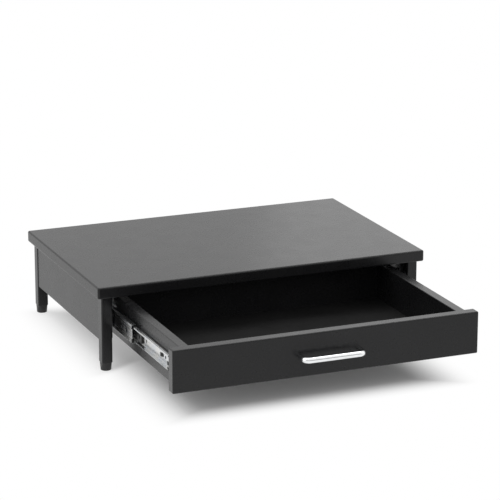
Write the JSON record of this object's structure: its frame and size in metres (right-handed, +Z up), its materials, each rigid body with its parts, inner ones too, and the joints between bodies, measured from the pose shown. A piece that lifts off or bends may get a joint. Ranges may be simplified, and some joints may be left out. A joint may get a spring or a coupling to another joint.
{
  "type": "microwave rack",
  "caption": "Low black kitchen stand on short square legs that lifts a microwave off the worktop, with a wide drawer on full-extension ball-bearing slides and a chrome bow handle.",
  "frame": {"origin": "on the floor, under the middle of the top board", "axes": "+X to the stand's right seen from the front, -Y out of its front, the way the drawer opens, +Z up"},
  "size_m": [0.55, 0.618, 0.136],
  "materials": {
    "black_board": "satin black foil on fibreboard",
    "drawer_base_board": "matt black hardboard",
    "leg_paint": "satin black paint",
    "foot_plastic": "moulded black plastic",
    "handle_chrome": "bright chrome plate",
    "slide_zinc": "bright zinc plate",
    "cage_steel": "plain cold-rolled strip",
    "ball_steel": "polished bearing steel, greased",
    "lever_plastic": "moulded black plastic",
    "screw_zinc": "zinc plate",
    "screw_black": "black zinc plate",
    "bracket_zinc": "zinc plate",
    "cam_zinc": "die-cast zinc",
    "dowel_wood": "bare beech"
  },
  "bodies": {
    "stand": {"top_board": "black_board", "left_side_panel": "black_board", "right_side_panel": "black_board", "back_panel": "black_board", "left_front_leg": "leg_paint", "left_front_foot": "foot_plastic", "left_rear_leg": "leg_paint", "left_rear_foot": "foot_plastic", "right_front_leg": "leg_paint", "right_front_foot": "foot_plastic", "right_rear_leg": "leg_paint", "right_rear_foot": "foot_plastic", "left_slide_outer_rail": "slide_zinc", "right_slide_outer_rail": "slide_zinc", "panel_dowels": "dowel_wood", "top_dowels": "dowel_wood", "top_brackets": "bracket_zinc", "bracket_screws": "screw_zinc", "slide_panel_screws": "screw_zinc", "foot_screws": "screw_zinc"},
    "drawer": {"drawer_front": "black_board", "left_drawer_side": "black_board", "right_drawer_side": "black_board", "drawer_back": "black_board", "drawer_base": "drawer_base_board", "left_slide_inner_rail": "slide_zinc", "right_slide_inner_rail": "slide_zinc", "handle": "handle_chrome", "handle_screws": "screw_zinc", "slide_drawer_screws": "screw_black", "drawer_back_screws": "screw_zinc", "drawer_base_screws": "screw_zinc", "drawer_cams": "cam_zinc", "drawer_cam_bolts": "cam_zinc", "drawer_dowels": "dowel_wood", "lever_rivets": "screw_black"},
    "left_slide_middle_rail": {"left_slide_middle_rail": "slide_zinc"},
    "left_slide_outer_cage": {"left_slide_outer_cage": "cage_steel", "left_slide_outer_balls": "ball_steel"},
    "left_slide_inner_cage": {"left_slide_inner_cage": "cage_steel", "left_slide_inner_balls": "ball_steel"},
    "left_release_lever": {"left_release_lever": "lever_plastic"},
    "right_slide_middle_rail": {"right_slide_middle_rail": "slide_zinc"},
    "right_slide_outer_cage": {"right_slide_outer_cage": "cage_steel", "right_slide_outer_balls": "ball_steel"},
    "right_slide_inner_cage": {"right_slide_inner_cage": "cage_steel", "right_slide_inner_balls": "ball_steel"},
    "right_release_lever": {"right_release_lever": "lever_plastic"}
  },
  "joints": [
    {"name": "drawer_slide", "type": "slide", "parent": "stand", "child": "drawer", "axis": [0, -1, 0], "range_m": [-0.25, 0]},
    {"name": "left_slide_middle_rail_run", "type": "slide", "parent": "stand", "child": "left_slide_middle_rail", "axis": [0, -1, 0], "range_m": [-0.1125, 0]},
    {"name": "left_slide_outer_cage_run", "type": "slide", "parent": "stand", "child": "left_slide_outer_cage", "axis": [0, -1, 0], "range_m": [-0.05625, 0]},
    {"name": "left_slide_inner_cage_run", "type": "slide", "parent": "stand", "child": "left_slide_inner_cage", "axis": [0, -1, 0], "range_m": [-0.18125, 0]},
    {"name": "left_release_lever_tilt", "type": "hinge", "parent": "drawer", "child": "left_release_lever", "pos_m": [-0.234, -0.244, 0.0757], "axis": [1, 0, 0], "range_deg": [-6, 6], "stiffness_Nm_per_rad": 0.05},
    {"name": "right_slide_middle_rail_run", "type": "slide", "parent": "stand", "child": "right_slide_middle_rail", "axis": [0, -1, 0], "range_m": [-0.1125, 0]},
    {"name": "right_slide_outer_cage_run", "type": "slide", "parent": "stand", "child": "right_slide_outer_cage", "axis": [0, -1, 0], "range_m": [-0.05625, 0]},
    {"name": "right_slide_inner_cage_run", "type": "slide", "parent": "stand", "child": "right_slide_inner_cage", "axis": [0, -1, 0], "range_m": [-0.18125, 0]},
    {"name": "right_release_lever_tilt", "type": "hinge", "parent": "drawer", "child": "right_release_lever", "pos_m": [0.234, -0.244, 0.0757], "axis": [1, 0, 0], "range_deg": [-6, 6], "stiffness_Nm_per_rad": 0.05}
  ],
  "couplings": [
    {"joint": "left_slide_middle_rail_run", "follows": "drawer_slide", "ratio": 0.45},
    {"joint": "left_slide_outer_cage_run", "follows": "drawer_slide", "ratio": 0.225},
    {"joint": "left_slide_inner_cage_run", "follows": "drawer_slide", "ratio": 0.725},
    {"joint": "right_slide_middle_rail_run", "follows": "drawer_slide", "ratio": 0.45},
    {"joint": "right_slide_outer_cage_run", "follows": "drawer_slide", "ratio": 0.225},
    {"joint": "right_slide_inner_cage_run", "follows": "drawer_slide", "ratio": 0.725}
  ]
}
